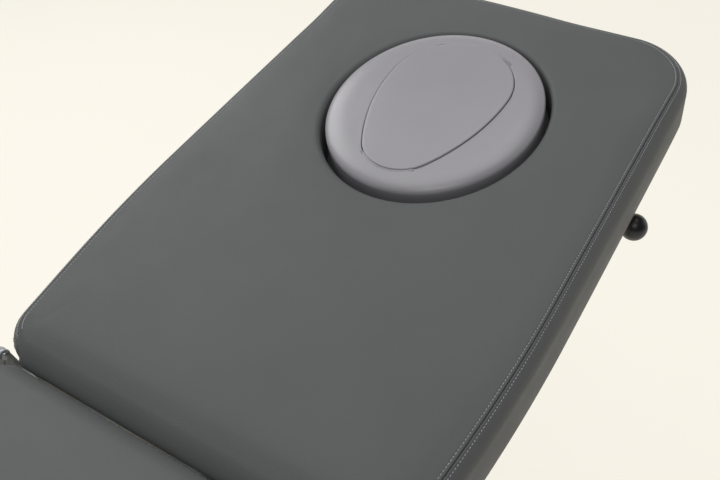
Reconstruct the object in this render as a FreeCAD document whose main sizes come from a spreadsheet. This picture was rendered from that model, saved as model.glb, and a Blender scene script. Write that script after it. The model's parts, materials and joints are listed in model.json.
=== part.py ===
import FreeCAD, Part
import math
import os
import re
import types

from FreeCAD import Placement, Rotation
from FreeCAD import Vector as V

# Driving dimensions in millimetres and degrees
DIMENSIONS = {
    # upholstered sections
    "pad_width": 650, "waist_width": 590, "waist_run": 350, "pad_height": 78,
    "back_length": 895, "seat_length": 1060, "end_radius": 95, "hinge_radius": 55,
    "edge_roll": 22, "base_roll": 6, "pad_gap": 6, "board_height": 12, "board_inset": 14,
    "fit_gap": 0.4,
    # head insert and face plug
    "insert_half_x": 156, "insert_half_y": 172, "insert_rise": 21, "insert_roll": 18,
    "insert_gap": 6, "insert_inset": 293, "egg_wide": 98, "egg_narrow": 50, "egg_length": 288,
    "egg_offset": 5, "egg_rise": 2, "egg_roll": 1.5, "board_ledge": 14, "plug_gap": 0.5,
    # back section frame and hinge
    "rest_tilt": 16, "hinge_drop": 18, "rail_centre": 200, "back_tube_width": 40,
    "back_tube_height": 25, "frame_inset": 60, "cross_width": 30, "neck_gap": 202,
    "hinge_clear": 12, "screw_shank": 3, "screw_head": 6, "screw_bite": 10,
    "screw_inset": 35, "screw_near": 110, "screw_middle": 330, "screw_clear": 52,
    "plate_thick": 5, "plate_gap": 0.5, "plate_inner": 275, "plate_half": 8,
    "pin_radius": 5, "pin_gap": 0.1, "stub_start": 40, "stub_width": 30,
    # gas spring
    "spring_base_y": 102, "spring_base_z": 134, "spring_top_y": 99, "spring_top_z": 132,
    "spring_radius": 11, "spring_rod_radius": 5, "spring_body": 140, "eye_radius": 11,
    "eye_half": 7, "open_eye_radius": 18, "open_eye_bore": 13, "ear_thick": 4, "ear_gap": 1,
    "lug_root": 35, "spring_neck": 12, "piston_start": 26, "rod_tail": 56,
    # release lever
    "lever_reach": 203, "lever_drop": 112, "lever_radius": 6, "lever_arm_x": 168,
    "lever_tip": 306, "knob_centre": 326, "knob_radius": 20.5, "lever_block": 40,
    # upper frame
    "top_tube_width": 50, "top_tube_height": 40, "spring_cross": 150,
    "tube_wall": 2.5,
    # lifting columns
    "column_inset": 170, "column_pitch": 330, "stage_x": 180, "stage_y": 110,
    "stage_wall": 4, "stage_gap": 4, "stage_corner": 8, "gearbox_height": 40, "outer_height": 260,
    "stage_floor": 2, "nut_room": 4, "stage_step": 6, "rest_lift": 75,
    "glide_height": 30, "glide_width": 40, "glide_clear": 0.3, "nut_height": 12,
    "screw_radius": 8, "tube_screw_radius": 14, "screw_gap": 0.3, "screw_length": 235,
    "motor_radius": 36, "motor_height": 118, "motor_reach": 100, "motor_cap": 12,
    "top_plate": 8,
    # base
    "base_centre": -150, "base_length": 980, "base_tube_width": 60, "base_tube_height": 40,
    "base_wall": 3, "base_bottom": 40, "base_plate": 8, "plate_margin": 15, "end_cross": 95,
    "foot_radius": 26, "foot_height": 10, "foot_stem": 6, "foot_inset": 65, "nut_radius": 11,
    "lock_nut": 8, "foot_cone": 8,
    # retractable castors
    "castor_tilt": 11, "shaft_radius": 10, "shaft_inset": 30, "castor_x": 262, "castor_reach": 110,
    "castor_radius": 37.5, "castor_width": 26, "castor_trail": 25, "castor_low": 7,
    "arm_half": 24, "arm_height": 22, "arm_thick": 6, "head_radius": 22, "head_height": 8,
    "fork_thick": 3, "axle_radius": 4, "axle_disc": 12, "pedal_reach": 190, "pedal_width": 110,
    "pedal_depth": 45, "pedal_thick": 8, "pedal_arm": 30, "tread_depth": 10, "tread_round": 5,
    "hub_radius": 11, "hub_sink": 6,
    # controls
    "bar_x": 272, "bar_z": 96, "bar_radius": 11, "bar_length": 640, "bar_arm": 260,
    "bar_lever": 6, "pivot_radius": 7, "pivot_out": 12, "pivot_drop": 8, "knuckle": 30,
    "bracket_nose": 12, "bracket_cheek": 8, "bracket_back": 3, "bracket_space": 20,
    "box_centre": 55, "box_width": 200, "box_depth": 130, "box_height": 66,
    "inlet_width": 40, "inlet_height": 30, "inlet_depth": 20,
}

doc = FreeCAD.newDocument("therapy_table")
sheet = doc.addObject("Spreadsheet::Sheet", "Sizes")
for row, (alias, value) in enumerate(DIMENSIONS.items(), start=1):
    sheet.set(f"A{row}", alias)
    sheet.set(f"B{row}", str(value))
    sheet.setAlias(f"B{row}", alias)
doc.recompute()
s = types.SimpleNamespace(**{alias: float(sheet.get(alias)) for alias in DIMENSIONS})

X, Y, Z = V(1, 0, 0), V(0, 1, 0), V(0, 0, 1)
SIDES = (-1, 1)


# Helpers

def bind(part, **sizes):
    """Tie properties to expressions written with the sheet's aliases."""
    for prop, text in sizes.items():
        if isinstance(text, str):
            words = lambda m: "Sizes." + m.group() if m.group() in DIMENSIONS else m.group()
            part.setExpression(prop, re.sub(r"[a-z_]+", words, text))
        else:
            setattr(part, prop, text)
    part.recompute()
    return part


def box(x, y, z, at, name="block"):
    """Block centred in X and Y over the point `at`, standing on it."""
    part = bind(doc.addObject("Part::Box", name), Length=x, Width=y, Height=z)
    part.Placement.Base = V(*at) - V(part.Length.Value / 2, part.Width.Value / 2, 0)
    return part


def rod(radius, length, start, axis=Z, name="rod"):
    """Cylinder that begins at `start` and runs along `axis`."""
    part = bind(doc.addObject("Part::Cylinder", name), Radius=radius, Height=length)
    part.Placement = Placement(V(*start), Rotation(Z, axis))
    return part


def cross_rod(radius, length, centre, axis=X, name="rod"):
    """Cylinder whose middle is at `centre`."""
    part = rod(radius, length, centre, axis, name)
    part.Placement.Base = V(*centre) - axis * (part.Height.Value / 2)
    return part


def fuse(*parts, name="joined"):
    part = doc.addObject("Part::MultiFuse", name)
    part.Shapes = list(parts)
    part.Refine = True
    return part


def cut(base, *tools, name="cut"):
    part = doc.addObject("Part::Cut", name)
    part.Base = base
    part.Tool = tools[0] if len(tools) == 1 else fuse(*tools)
    return part


def group(*parts, name="group"):
    part = doc.addObject("Part::Compound", name)
    part.Links = list(parts)
    return part


def roll(base, radius, edge_test, name="rolled"):
    """Round the edges for which edge_test(edge) is true."""
    doc.recompute()
    part = doc.addObject("Part::Fillet", name)
    part.Base = base
    chosen = [n for n, edge in enumerate(base.Shape.Edges, start=1) if edge_test(edge)]
    part.Edges = [(n, radius, radius) for n in chosen]
    return part


def sketch_on(body, plane_role, geometry, height=0.0):
    """Sketch in one of the body's own origin planes, raised by `height`."""
    sketch = body.newObject("Sketcher::SketchObject", "Outline")
    plane = [f for f in body.Origin.OriginFeatures if f.Role == plane_role][0]
    sketch.AttachmentSupport = [(plane, "")]
    sketch.MapMode = "FlatFace"
    sketch.AttachmentOffset = Placement(V(0, 0, height), Rotation())
    for curve in geometry:
        sketch.addGeometry(curve, False)
    return sketch


def feature(body, kind, profile, through=False, **sizes):
    part = body.newObject("PartDesign::" + kind, kind)
    part.Profile = profile
    if through:
        part.Type = "ThroughAll"
    bind(part, **sizes)
    doc.recompute()
    return part


def round_edges(body, radius, edge_test):
    """PartDesign fillet on the body's tip."""
    tip = body.Tip
    names = [f"Edge{n}" for n, e in enumerate(tip.Shape.Edges, start=1) if edge_test(e)]
    part = body.newObject("PartDesign::Fillet", "Fillet")
    part.Base = (tip, names)
    bind(part, Radius=radius)
    doc.recompute()
    return part


def flat_at(height):
    """Test for edges that lie in the plane z = height."""
    return lambda e: abs(e.BoundBox.ZMin - height) < 0.01 and abs(e.BoundBox.ZMax - height) < 0.01


def is_upright(edge):
    """Test for long vertical edges."""
    return edge.BoundBox.ZLength > 10 and edge.BoundBox.DiagonalLength < edge.BoundBox.ZLength + 0.01


def upright_at(y, side_y):
    """Test for vertical edges beyond y, on the side given by the sign."""
    return lambda e: e.BoundBox.ZLength > 1 and e.BoundBox.YLength < 0.01 and (
        (e.BoundBox.Center.y - y) * side_y > 0) and e.BoundBox.XLength < 0.01


# Frames that the pieces are built in, at the rest pose

column_base = s.base_bottom + s.gearbox_height
top_of_inner = column_base + s.outer_height + 2 * s.stage_step + 2 * s.rest_lift
frame_top = top_of_inner + s.top_plate + s.top_tube_height
seat_top = frame_top + s.pad_height
tilt = math.radians(s.rest_tilt)
back_reach = (s.base_roll + (s.back_length + s.pad_gap / 2 - s.base_roll) * math.cos(tilt)
              + (s.pad_height - s.base_roll - s.hinge_drop) * math.sin(tilt))
hinge_y = (s.seat_length + s.pad_gap / 2 - back_reach) / 2
hinge_z = seat_top - s.hinge_drop
back_frame_end = s.back_length - s.frame_inset
top_frame_end = s.seat_length - s.frame_inset
insert_centre = s.back_length - s.insert_inset
neck_cross = insert_centre - s.neck_gap
column_foot_y = s.base_centre - s.base_length / 2 + s.column_inset
column_head_y = column_foot_y + s.column_pitch

to_top = Placement(V(0, hinge_y, seat_top), Rotation())
to_back = Placement(V(0, hinge_y, hinge_z), Rotation(X, s.rest_tilt)).multiply(
    Placement(V(0, 0, s.hinge_drop), Rotation()))
in_place = Placement()
lifted_once = Placement(V(0, 0, s.rest_lift), Rotation())
lifted_twice = Placement(V(0, 0, 2 * s.rest_lift), Rotation())

nodes = []


def node(label, part, frame=in_place):
    """Register a finished sub-part and set it in its frame."""
    part.Label = label
    part.Placement = frame.multiply(part.Placement)
    nodes.append(part)
    return part


# Upholstery and boards

def section_outline(length, inset, direction):
    """Outline of one section: a waist at the hinge that widens along an arc."""
    near = direction * (s.pad_gap / 2 + inset)
    far = direction * (s.pad_gap / 2 + length - inset)
    half, waist = s.pad_width / 2 - inset, s.waist_width / 2 - inset
    run = direction * s.waist_run
    bend = (s.waist_run ** 2 + (half - waist) ** 2) / (2 * (half - waist))
    middle_y = run / 2
    middle_x = half - bend + math.sqrt(bend ** 2 - (s.waist_run / 2) ** 2)
    corner = lambda x, y: V(x, y, 0)
    return [
        Part.LineSegment(corner(-waist, near), corner(waist, near)),
        Part.Arc(corner(waist, near), corner(middle_x, near + middle_y), corner(half, near + run)),
        Part.LineSegment(corner(half, near + run), corner(half, far)),
        Part.LineSegment(corner(half, far), corner(-half, far)),
        Part.LineSegment(corner(-half, far), corner(-half, near + run)),
        Part.Arc(corner(-half, near + run), corner(-middle_x, near + middle_y),
                 corner(-waist, near)),
    ]


def slab(name, length, direction, inset, bottom, height, corner_cut):
    """Prism of a section's outline with its four corners rounded."""
    body = doc.addObject("PartDesign::Body", name)
    outline = sketch_on(body, "XY_Plane", section_outline(length, inset, direction), bottom)
    feature(body, "Pad", outline, Length=height)
    middle = direction * length / 2
    round_edges(body, f"hinge_radius - {corner_cut}", upright_at(middle, -direction))
    round_edges(body, f"end_radius - {corner_cut}",
                lambda e: upright_at(middle, direction)(e)
                and abs(e.BoundBox.Center.y) > length - inset - 1)
    return body


def ellipse(half_x, half_y, centre_y):
    return Part.Ellipse(V(0, centre_y + half_y, 0), V(half_x, centre_y, 0), V(0, centre_y, 0))


def egg(margin):
    """Four tangent arcs: a wide end to the head, a narrow end to the hinge."""
    wide, narrow, length = s.egg_wide + margin, s.egg_narrow + margin, s.egg_length + 2 * margin
    centre = pad_start + insert_centre - s.egg_offset
    wide_y = centre + length / 2 - wide
    narrow_y = centre - length / 2 + narrow
    rise = wide_y - narrow_y
    flank = (wide ** 2 + rise ** 2 - narrow ** 2) / (2 * (wide - narrow))
    turn = math.atan2(rise, flank - wide)
    join_x, join_y = narrow * math.cos(turn), narrow_y - narrow * math.sin(turn)
    mid_x = wide - flank + flank * math.cos(turn / 2)
    mid_y = wide_y - flank * math.sin(turn / 2)
    return [
        Part.Arc(V(wide, wide_y, 0), V(0, wide_y + wide, 0), V(-wide, wide_y, 0)),
        Part.Arc(V(-wide, wide_y, 0), V(-mid_x, mid_y, 0), V(-join_x, join_y, 0)),
        Part.Arc(V(-join_x, join_y, 0), V(0, narrow_y - narrow, 0), V(join_x, join_y, 0)),
        Part.Arc(V(join_x, join_y, 0), V(mid_x, mid_y, 0), V(wide, wide_y, 0)),
    ]


def board_screws(spots, tube):
    """Screws that run up through the frame tubes into the board."""
    screws = []
    for spot in spots:
        foot = -s.pad_height - tube
        screws.append(fuse(rod("screw_shank", tube + s.screw_bite - s.fit_gap,
                               (spot.x, spot.y, foot)),
                           rod("screw_head", 4, (spot.x, spot.y, foot - 4))))
    return group(*screws)


def screw_holes(name, direction):
    return [rod("screw_shank + pin_gap", 3 * tube_height[name],
                (side * s.rail_centre, direction * y, -s.pad_height - 2 * tube_height[name]))
            for side in SIDES for y in screw_rows[name]]


tube_height = {"back": s.back_tube_height, "seat": s.top_tube_height}
beside_column = hinge_y - column_head_y - s.stage_y / 2 - s.plate_margin - s.screw_clear
between_columns = hinge_y - (column_foot_y + column_head_y) / 2
screw_rows = {"back": (s.screw_near, s.screw_middle, back_frame_end - s.screw_inset),
              "seat": (beside_column, between_columns, top_frame_end - s.screw_inset)}
pad_start = s.pad_gap / 2
board_top = s.board_height - s.pad_height
hole_y = pad_start + insert_centre

for name, length, direction, frame in (("back", s.back_length, 1, to_back),
                                       ("seat", s.seat_length, -1, to_top)):
    pad = slab(name + "_pad", length, direction, 0, -s.pad_height, "pad_height", "0")
    round_edges(pad, "edge_roll", flat_at(0))
    round_edges(pad, "base_roll", flat_at(-s.pad_height))
    recess = sketch_on(pad, "XY_Plane",
                       section_outline(length, s.board_inset - s.fit_gap, direction),
                       -s.pad_height)
    feature(pad, "Pocket", recess, Length="board_height + fit_gap", Reversed=True)
    board = slab(name + "_board", length, direction, s.board_inset, -s.pad_height,
                 "board_height", "board_inset")
    if name == "back":
        hole = sketch_on(pad, "XY_Plane", [ellipse(s.insert_half_x + s.insert_gap,
                                                   s.insert_half_y + s.insert_gap, hole_y)])
        feature(pad, "Pocket", hole, through=True)
        window = sketch_on(board, "XY_Plane", egg(-s.board_ledge), 0)
        feature(board, "Pocket", window, through=True)
    spots = [V(side * s.rail_centre, direction * y, 0)
             for side in SIDES for y in screw_rows[name]]
    pilots = sketch_on(board, "XY_Plane", [Part.Circle(spot, Z, s.screw_shank) for spot in spots],
                       -s.pad_height)
    feature(board, "Pocket", pilots, Length="screw_bite", Reversed=True)
    node(name + "_pad", pad, frame)
    node(name + "_board", board, frame)
    node(name + "_board_screws", board_screws(spots, tube_height[name]), frame)

insert = doc.addObject("PartDesign::Body", "head_insert")
insert_floor = board_top + s.fit_gap
oval = sketch_on(insert, "XY_Plane", [ellipse(s.insert_half_x, s.insert_half_y, hole_y)],
                 insert_floor)
feature(insert, "Pad", oval, Length="pad_height - board_height - fit_gap + insert_rise")
round_edges(insert, "insert_roll", flat_at(s.insert_rise))
breathing = sketch_on(insert, "XY_Plane", egg(s.plug_gap), s.insert_rise)
feature(insert, "Pocket", breathing, through=True)
node("head_insert", insert, to_back)

plug = doc.addObject("PartDesign::Body", "face_plug")
shape = sketch_on(plug, "XY_Plane", egg(0), insert_floor)
feature(plug, "Pad", shape,
        Length="pad_height - board_height - fit_gap + insert_rise + egg_rise")
round_edges(plug, "egg_roll", flat_at(s.insert_rise + s.egg_rise))
node("face_plug", plug, to_back)


# Frames under the two sections, in the coordinates of the table's top plane

def hinge_plate(side, inner_x, direction, drop):
    """L-shaped plate that stands in the notch between the sections."""
    x = side * (inner_x + s.plate_thick / 2)
    reach = s.stub_start + s.stub_width + s.plate_half
    arm = box("plate_thick", reach, drop - s.pad_height,
              (x, direction * (reach / 2 - s.plate_half), -drop))
    post = box("plate_thick", "2 * plate_half", drop - s.hinge_drop,
               (x, 0, -drop))
    crown = cross_rod("plate_half", "plate_thick", (x, 0, -s.hinge_drop))
    bore = cross_rod("pin_radius + pin_gap", "plate_thick * 3", (x, 0, -s.hinge_drop))
    return cut(fuse(arm, post, crown), bore)


def sheet_plate(outline, x, side, thick):
    """Flat plate with an outline in the YZ plane, from `x` outward on one side."""
    profile = doc.addObject("Part::Feature", "plate_profile")
    profile.Shape = Part.Face(Part.makePolygon(outline + outline[:1]))
    profile.Placement.Base = V(x, 0, 0)
    plate = doc.addObject("Part::Extrusion", "plate")
    plate.Base = profile
    plate.Dir = X * side
    return bind(plate, LengthFwd=thick)


def ears(width_between, y, z, y_back, height_up):
    """Two lugs that hold a clevis pin at (y, z) and reach back to a cross tube."""
    lugs = []
    toward = math.copysign(1, y_back - y)
    outline = [V(0, y - toward * s.eye_radius, z), V(0, y - toward * s.eye_radius, height_up),
               V(0, y_back, height_up), V(0, y_back, height_up - s.lug_root),
               V(0, y + toward * s.eye_radius, z)]
    for side in SIDES:
        inner = side * width_between
        web = sheet_plate(outline, inner, side, "ear_thick")
        lugs.append(fuse(web, cross_rod("eye_radius", "ear_thick",
                                        (inner + side * s.ear_thick / 2, y, z))))
    return lugs


half_fork = s.eye_half + s.ear_gap
back_bottom = -s.pad_height - s.back_tube_height
spring_top = (s.spring_top_y, -s.hinge_drop - s.spring_top_z)
spring_base = (-s.spring_base_y, -s.hinge_drop - s.spring_base_z)


def rail(side, width, end, height, direction):
    """Long tube of a frame, closed at its ends, and its hollow."""
    at_y = direction * (s.hinge_clear + end) / 2
    length = end - s.hinge_clear
    low = -s.pad_height - height
    return (box(width, length, height, (side * s.rail_centre, at_y, low)),
            box(width - 2 * s.tube_wall, length - 2 * s.tube_wall, height - 2 * s.tube_wall,
                (side * s.rail_centre, at_y, low + s.tube_wall)))


def cross_tube(y, height):
    """Tube from rail to rail, and its hollow, which opens into the rails."""
    low = -s.pad_height - height
    return (box("2 * rail_centre", "cross_width", height, (0, y, low)),
            box("2 * rail_centre", "cross_width - 2 * tube_wall", height - 2 * s.tube_wall,
                (0, y, low + s.tube_wall)))


def ladder(name, direction, width, end, height, plate_x, rungs, extra, pin):
    """Welded ladder frame under a section, with its stubs to the hinge plates."""
    tubes = [rail(side, width, end, height, direction) for side in SIDES]
    tubes += [cross_tube(y, height) for y in rungs]
    stubs = [box(plate_x - s.rail_centre, "stub_width", height,
                 (side * (s.rail_centre + plate_x) / 2,
                  direction * (s.stub_start + s.stub_width / 2), -s.pad_height - height))
             for side in SIDES]
    bore = cross_rod("pin_radius + pin_gap", 6 * s.eye_half, (0, *pin))
    hollow = cut(fuse(*[outer for outer, inner in tubes], *stubs, *extra),
                 *[inner for outer, inner in tubes], bore, *screw_holes(name, direction))
    return hollow


spring_tie = s.spring_top_y + 50
under_board = -s.pad_height - s.fit_gap
back_rungs = (spring_tie, neck_cross, back_frame_end - s.cross_width / 2)
node("back_frame",
     ladder("back", 1, s.back_tube_width, back_frame_end, s.back_tube_height,
            s.plate_inner + s.plate_thick + s.plate_gap, back_rungs,
            ears(half_fork, *spring_top, spring_tie - s.cross_width / 2, under_board), spring_top),
     to_back)
seat_rungs = (-s.spring_cross - s.cross_width / 2, -top_frame_end + s.cross_width / 2,
              -(s.spring_cross + top_frame_end) / 2)
node("upper_frame",
     ladder("seat", -1, s.top_tube_width, top_frame_end, s.top_tube_height, s.plate_inner,
            seat_rungs, ears(half_fork, *spring_base, -s.spring_cross, under_board), spring_base),
     to_top)

back_plates = [hinge_plate(side, s.plate_inner + s.plate_thick + s.plate_gap, 1,
                           s.pad_height + s.back_tube_height) for side in SIDES]
node("back_hinge_plates", group(*back_plates), to_back)
seat_plates = [hinge_plate(side, s.plate_inner, -1, s.pad_height + s.top_tube_height)
               for side in SIDES]
node("seat_hinge_plates", group(*seat_plates), to_top)

pin_length = 2 * s.plate_thick + s.plate_gap + 3
pins = []
for side in SIDES:
    middle = side * (s.plate_inner + s.plate_thick + s.plate_gap / 2)
    shank = cross_rod("pin_radius", pin_length + 3, (middle, 0, -s.hinge_drop))
    head = cross_rod("pin_radius + 2", 2, (middle + side * (pin_length / 2 + 1.5), 0,
                                           -s.hinge_drop))
    pins.append(fuse(shank, head))
node("hinge_pins", group(*pins), to_top)

# Gas spring, drawn along +Y from its lower eye

pin_y = spring_top[0] * math.cos(tilt) + s.spring_top_z * math.sin(tilt)
pin_z = spring_top[0] * math.sin(tilt) - s.spring_top_z * math.cos(tilt) - s.hinge_drop
spring_length = math.hypot(pin_y - spring_base[0], pin_z - spring_base[1])
spring_angle = math.degrees(math.atan2(pin_z - spring_base[1], pin_y - spring_base[0]))
to_spring = to_top.multiply(Placement(V(0, *spring_base), Rotation(X, spring_angle)))

cylinder = fuse(cross_rod("eye_radius", "2 * eye_half", (0, 0, 0)),
                rod("spring_rod_radius + 1", "eye_radius + spring_neck + 1", (0, 0, 0), Y),
                rod("spring_radius", "spring_body", (0, s.eye_radius + s.spring_neck, 0), Y))
rod_bore = rod("spring_rod_radius + screw_gap", 2 * s.spring_body, (0, s.piston_start, 0), Y)
eye_bore = cross_rod("pin_radius + pin_gap", 4 * s.eye_half, (0, 0, 0))
node("gas_spring_cylinder", cut(cylinder, rod_bore, eye_bore), to_spring)

rod_end = spring_length - s.open_eye_bore - 2
eye = fuse(rod("spring_rod_radius", rod_end - s.rod_tail, (0, s.rod_tail, 0), Y),
           cross_rod("open_eye_radius", "2 * eye_half", (0, spring_length, 0)))
node("gas_spring_rod", cut(eye, cross_rod("open_eye_bore", 4 * s.eye_half,
                                          (0, spring_length, 0))), to_spring)
fork_width = 2 * (half_fork + s.ear_thick)
node("gas_spring_base_pin", cross_rod("pin_radius", fork_width + 4, (0, *spring_base)), to_top)
node("gas_spring_top_pin", cross_rod("pin_radius", fork_width + 4, (0, *spring_top)), to_back)

# Release lever: a torsion shaft under the neck tube, two arms and a knob each side

lever_z = -s.lever_drop
shaft_parts = [cross_rod("lever_radius", "2 * lever_arm_x", (0, neck_cross, lever_z))]
for side in SIDES:
    tip_y = neck_cross + s.lever_reach
    shaft_parts += [
        rod("lever_radius", "lever_reach", (side * s.lever_arm_x, neck_cross, lever_z), Y),
        rod("lever_radius", "lever_tip - lever_arm_x", (side * s.lever_arm_x, tip_y, lever_z),
            X * side)]
    for y in (neck_cross, tip_y):
        knuckle = doc.addObject("Part::Sphere", "knuckle")
        bind(knuckle, Radius="lever_radius")
        knuckle.Placement.Base = V(side * s.lever_arm_x, y, lever_z)
        shaft_parts.append(knuckle)
node("release_lever", fuse(*shaft_parts), to_back)

knobs = []
for side in SIDES:
    ball = doc.addObject("Part::Sphere", "ball")
    bind(ball, Radius="knob_radius")
    ball.Placement.Base = V(side * s.knob_centre, tip_y, lever_z)
    neck = doc.addObject("Part::Cone", "neck")
    bind(neck, Radius1="lever_radius + 5", Radius2="knob_radius * 0.9",
         Height="knob_centre - lever_tip + 12")
    neck.Placement = Placement(V(side * (s.lever_tip - 12), tip_y, lever_z), Rotation(Z, X * side))
    socket = rod("lever_radius", "lever_tip", (0, tip_y, lever_z), X * side)
    knobs.append(cut(fuse(ball, neck), socket))
node("release_knobs", group(*knobs), to_back)

blocks = []
for side in SIDES:
    block = box("lever_block", "cross_width", back_bottom + s.lever_drop + s.lever_radius + 5,
                (side * s.lever_arm_x / 2, neck_cross, lever_z - s.lever_radius - 5))
    blocks.append(cut(block, cross_rod("lever_radius + pin_gap", 3 * s.lever_block,
                                       (side * s.lever_arm_x / 2, neck_cross, lever_z))))
node("lever_bearings", group(*blocks), to_back)


# Lifting columns

def sleeve(step, bottom, height, y):
    """One rectangular stage of the telescope; step 0 is the outer one."""
    shrink = f"{2 * step} * (stage_wall + stage_gap)"
    outer = box(f"stage_x - {shrink}", f"stage_y - {shrink}", height, (0, y, bottom))
    inner = box(f"stage_x - {shrink} - 2 * stage_wall", f"stage_y - {shrink} - 2 * stage_wall",
                f"{height} + 20", (0, y, bottom - 10))
    return cut(roll(outer, s.stage_corner, is_upright), roll(inner, bore_corner, is_upright))


def nut(step, bottom, y, bore):
    """Block that closes the lower end of a stage and carries its screw's thread."""
    width, depth = inner_size(step)
    block = roll(box(width, depth, "nut_height", (0, y, bottom)), bore_corner, is_upright)
    return cut(block, rod(bore, 2 * s.nut_height, (0, y, bottom - s.nut_height / 2)))


def inner_size(step):
    shrink = 2 * step * (s.stage_wall + s.stage_gap) + 2 * s.stage_wall
    return s.stage_x - shrink, s.stage_y - shrink


def glides(step, top, y):
    """Four plastic pads at the top of a stage that guide the next stage."""
    width, depth = inner_size(step)
    thick = s.stage_gap - s.glide_clear
    pads = []
    for side in SIDES:
        pads.append(box(thick, "glide_width", "glide_height",
                        (side * (width - thick) / 2, y, top - s.glide_height)))
        pads.append(box("glide_width", thick, "glide_height",
                        (0, y + side * (depth - thick) / 2, top - s.glide_height)))
    return pads


columns = (("foot", column_foot_y, 1), ("head", column_head_y, -1))
bore_corner = s.stage_corner - s.stage_wall
middle_base = column_base + s.stage_floor
inner_base = middle_base + s.nut_height + s.nut_room
outer_top = column_base + s.outer_height
middle_top = outer_top + s.stage_step
middle_length = "outer_height + stage_step - stage_floor"
inner_length = middle_length + " + stage_step - nut_height - nut_room"
outer_pads, middle_pads, middle_nuts, inner_nuts, plates, top_plates = [], [], [], [], [], []
for name, y, toward in columns:
    motor_y = y + toward * s.motor_reach
    node(f"column_outer_{name}", sleeve(0, column_base, "outer_height", y))
    node(f"column_middle_{name}", sleeve(1, middle_base, middle_length, y), lifted_once)
    node(f"column_inner_{name}", sleeve(2, inner_base, inner_length, y), lifted_twice)
    outer_pads += glides(0, outer_top, y)
    middle_pads += glides(1, middle_top, y)
    middle_nuts.append(nut(1, middle_base, y, "screw_radius + screw_gap"))
    inner_nuts.append(nut(2, inner_base + s.stage_floor, y, "tube_screw_radius + screw_gap"))
    node(f"lift_screw_{name}", rod("screw_radius", "screw_length", (0, y, column_base)))
    tube = fuse(rod("tube_screw_radius", "screw_length", (0, y, inner_base)),
                rod("tube_screw_radius + 5", inner_base - middle_base - s.nut_height
                    - s.fit_gap + 1, (0, y, middle_base + s.nut_height + s.fit_gap)))
    bore = rod("screw_radius + screw_gap", 2 * s.screw_length, (0, y, middle_base))
    node(f"tube_screw_{name}", cut(tube, bore), lifted_once)
    housing = box("stage_x", s.stage_y + s.motor_reach, "gearbox_height",
                  (0, y + toward * s.motor_reach / 2, s.base_bottom))
    node(f"gearbox_{name}", roll(housing, s.stage_corner, is_upright))
    motor_top = column_base + s.motor_height
    motor = fuse(rod("motor_radius", "motor_height", (0, motor_y, column_base)),
                 rod("motor_radius + 3", "motor_cap", (0, motor_y, column_base)),
                 rod("motor_radius - 6", "motor_height + motor_cap", (0, motor_y, column_base)))
    rims = ((column_base + s.motor_cap, s.motor_radius + 3), (motor_top, s.motor_radius),
            (motor_top + s.motor_cap, s.motor_radius - 6))
    node(f"motor_{name}", roll(motor, 2.5, lambda e: any(
        flat_at(z)(e) and abs(e.BoundBox.XLength - 2 * radius) < 0.1 for z, radius in rims)))
    plates.append(box("2 * rail_centre + base_tube_width", "stage_y + motor_reach",
                      "base_plate", (0, y + toward * s.motor_reach / 2,
                                     s.base_bottom - s.base_plate)))
    top_plates.append(box("2 * rail_centre + top_tube_width", "stage_y + 2 * plate_margin",
                          "top_plate", (0, y, middle_top + s.stage_step)))
node("outer_glides", group(*outer_pads))
node("middle_glides", group(*middle_pads), lifted_once)
node("middle_nuts", group(*middle_nuts), lifted_once)
node("inner_nuts", group(*inner_nuts), lifted_twice)
node("column_top_plates", group(*top_plates), lifted_twice)

# Base frame, feet and plates

rail_half = s.base_length / 2
base_z = s.base_bottom
feet_y = [s.base_centre + side * (rail_half - s.foot_inset) for side in SIDES]
shaft_y = [s.base_centre + side * (rail_half - s.shaft_inset) for side in SIDES]
shaft_z = base_z + s.base_tube_height / 2
solid_parts, hollows, foot_holes = [], [], []
for side in SIDES:
    x = side * s.rail_centre
    solid_parts.append(box("base_tube_width", "base_length", "base_tube_height",
                           (x, s.base_centre, base_z)))
    hollows.append(box("base_tube_width - 2 * base_wall", "base_length + 20",
                       "base_tube_height - 2 * base_wall",
                       (x, s.base_centre, base_z + s.base_wall)))
    for y in feet_y:
        foot_holes.append(rod("foot_stem + pin_gap", 20, (x, y, base_z - 10)))
for side in SIDES:
    y = s.base_centre + side * (rail_half - s.end_cross)
    solid_parts.append(box("2 * rail_centre - base_tube_width", "base_tube_width / 2",
                           "base_tube_height", (0, y, base_z)))
shaft_bores = [cross_rod("shaft_radius + 3", 3 * s.rail_centre, (0, y, shaft_z)) for y in shaft_y]
node("base_frame", cut(fuse(*solid_parts), *hollows, *foot_holes, *shaft_bores))

caps, feet, nuts, bushes = [], [], [], []
for side_x in SIDES:
    x = side_x * s.rail_centre
    for side_y, y in zip(SIDES, shaft_y):
        end = s.base_centre + side_y * rail_half
        caps.append(box("base_tube_width", 4, "base_tube_height",
                        (x, end + side_y * 2, base_z)))
        bush = fuse(cross_rod("shaft_radius + 3", "base_tube_width", (x, y, shaft_z)),
                    cross_rod("shaft_radius + 5", 2, (x + side_x * (s.base_tube_width / 2 + 1),
                                                      y, shaft_z)))
        bushes.append(cut(bush, cross_rod("shaft_radius + pin_gap", 2 * s.base_tube_width,
                                          (x, y, shaft_z))))
    for y in feet_y:
        pad = roll(rod("foot_radius", "foot_height", (x, y, 0)), 2, flat_at(s.foot_height))
        cone = bind(doc.addObject("Part::Cone", "foot_cone"), Radius1="foot_radius - 6",
                    Radius2="foot_stem + 4", Height="foot_cone")
        cone.Placement.Base = V(x, y, s.foot_height)
        stem = rod("foot_stem", base_z + 20 - s.foot_height + 1, (x, y, s.foot_height - 1))
        feet.append(fuse(pad, cone, stem))
        hexagon = bind(doc.addObject("Part::Prism", "lock_nut"), Circumradius="nut_radius",
                       Height="lock_nut")
        hexagon.Placement.Base = V(x, y, base_z - s.lock_nut)
        nuts.append(cut(hexagon, rod("foot_stem", 5 * s.lock_nut, (x, y, base_z - 20))))
node("rail_caps", group(*caps))
node("shaft_bushes", group(*bushes))
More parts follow.
